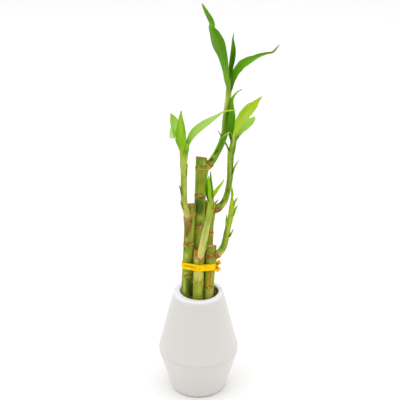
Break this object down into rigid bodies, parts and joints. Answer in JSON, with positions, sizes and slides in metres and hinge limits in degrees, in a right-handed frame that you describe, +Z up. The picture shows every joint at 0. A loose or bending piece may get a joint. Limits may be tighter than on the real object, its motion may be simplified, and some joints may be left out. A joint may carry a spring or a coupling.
{
  "type": "potted lucky bamboo",
  "caption": "Lucky bamboo: upright cut canes held by a yellow ribbon, each with one leafy side shoot, standing in soil in a white ceramic pot with a wide waist.",
  "frame": {"origin": "middle of the pot's flat underside", "axes": "+Z up along the pot's axis; -Y towards the side that the picture shows; +X to the right in the picture"},
  "size_m": [0.119, 0.0854, 0.4078],
  "materials": {
    "glaze": "satin",
    "soil": "matte",
    "cane": "satin",
    "shoot": "satin",
    "ribbon": "satin"
  },
  "bodies": {
    "root": {"pot": "glaze", "soil": "soil", "cane_tall": "cane", "shoot_tall": "shoot", "cane_left": "cane", "shoot_left": "shoot", "cane_front": "cane", "shoot_front": "shoot", "cane_right": "cane", "shoot_right": "shoot", "cane_back_right": "cane", "shoot_back_right": "shoot", "tie": "ribbon"}
  },
  "joints": []
}
